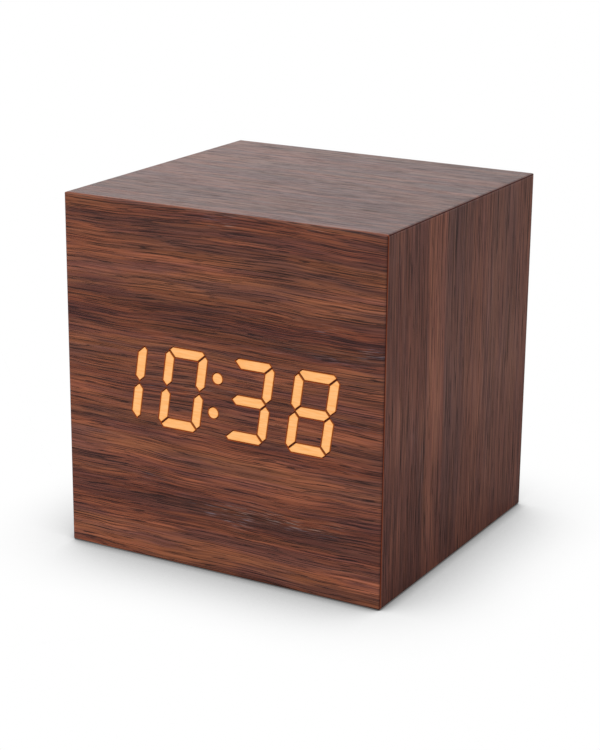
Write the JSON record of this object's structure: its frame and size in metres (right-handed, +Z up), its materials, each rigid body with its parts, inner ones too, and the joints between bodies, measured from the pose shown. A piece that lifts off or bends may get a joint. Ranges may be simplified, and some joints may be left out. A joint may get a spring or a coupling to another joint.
{
  "type": "led cube alarm clock",
  "caption": "Cube alarm clock in a walnut veneered case, the LED time showing through the front, with rear keys, sound switch, power inlet and battery door.",
  "frame": {"origin": "centre of the case's underside, on the surface it stands on", "axes": "+Z up, -Y towards the viewer of the display, +X to that viewer's right"},
  "size_m": [0.06, 0.056, 0.0615],
  "materials": {
    "walnut_veneer": "satin walnut veneer, straight grain",
    "mdf": "bare board edge",
    "pine": "planed",
    "lit_resin": "milky resin lit amber from behind",
    "dark_resin": "milky resin, unlit",
    "black_mask": "moulded matt",
    "led_phosphor": "phosphor dome",
    "black_abs": "fine spark texture",
    "screw_steel": "black zinc plate",
    "cell_sleeve": "printed sleeve on a steel can",
    "nickel_plate": "bright nickel",
    "red_pvc": "soft insulation",
    "black_pvc": "soft insulation",
    "grey_pvc": "soft insulation",
    "key_plastic": "satin moulded caps",
    "black_resin": "moulded epoxy",
    "tinned_steel": "tinned sheet",
    "white_plastic": "moulded nylon",
    "circuit_board": "green solder mask on glass epoxy",
    "capacitor_sleeve": "shrink sleeve on an aluminium can"
  },
  "bodies": {
    "case": {"front_veneer": "walnut_veneer", "top_veneer": "walnut_veneer", "bottom_veneer": "walnut_veneer", "left_veneer": "walnut_veneer", "right_veneer": "walnut_veneer", "front_panel": "mdf", "top_board": "mdf", "bottom_board": "mdf", "left_board": "mdf", "right_board": "mdf", "corner_blocks": "pine", "lit_segments": "lit_resin", "dark_segments": "dark_resin", "display_mask": "black_mask", "led_chips": "led_phosphor", "rear_cover": "black_abs", "rear_screws": "screw_steel", "battery_cells": "cell_sleeve", "contact_plates": "nickel_plate", "contact_springs": "nickel_plate", "red_battery_lead": "red_pvc", "black_battery_lead": "black_pvc", "push_switches": "black_resin", "sound_switch_body": "tinned_steel", "key_board": "circuit_board", "key_board_screws": "screw_steel", "usb_shell": "tinned_steel", "usb_tongue": "black_resin", "usb_board": "circuit_board", "usb_board_screws": "screw_steel", "red_usb_lead": "red_pvc", "black_usb_lead": "black_pvc", "microphone": "tinned_steel", "mic_leads": "grey_pvc", "main_board": "circuit_board", "main_board_screws": "screw_steel", "controller_chip": "black_resin", "clock_crystal": "tinned_steel", "buzzer": "black_resin", "capacitor": "capacitor_sleeve", "chip_resistors": "black_resin", "digit_transistors": "black_resin", "backup_cell": "tinned_steel", "cell_clip": "nickel_plate", "lead_sockets": "white_plastic", "lead_plugs": "white_plastic", "ribbon_sockets": "white_plastic", "ribbon_cable": "grey_pvc"},
    "battery_door": {"battery_door": "black_abs"},
    "set_key": {"set_button": "key_plastic", "set_plunger": "black_resin"},
    "up_key": {"up_button": "key_plastic", "up_plunger": "black_resin"},
    "down_key": {"down_button": "key_plastic", "down_plunger": "black_resin"},
    "sound_knob": {"sound_switch_knob": "white_plastic"}
  },
  "joints": [
    {"name": "door_hinge", "type": "hinge", "parent": "case", "child": "battery_door", "pos_m": [0, 0.026, 0.01395], "axis": [-1, 0, 0], "range_deg": [0, 90]},
    {"name": "set_press", "type": "slide", "parent": "case", "child": "set_key", "axis": [0, -1, 0], "range_m": [0, 0.0004], "stiffness_N_per_m": 800},
    {"name": "up_press", "type": "slide", "parent": "case", "child": "up_key", "axis": [0, -1, 0], "range_m": [0, 0.0004], "stiffness_N_per_m": 800},
    {"name": "down_press", "type": "slide", "parent": "case", "child": "down_key", "axis": [0, -1, 0], "range_m": [0, 0.0004], "stiffness_N_per_m": 800},
    {"name": "sound_slide", "type": "slide", "parent": "case", "child": "sound_knob", "axis": [1, 0, 0], "range_m": [0, 0.002]}
  ]
}
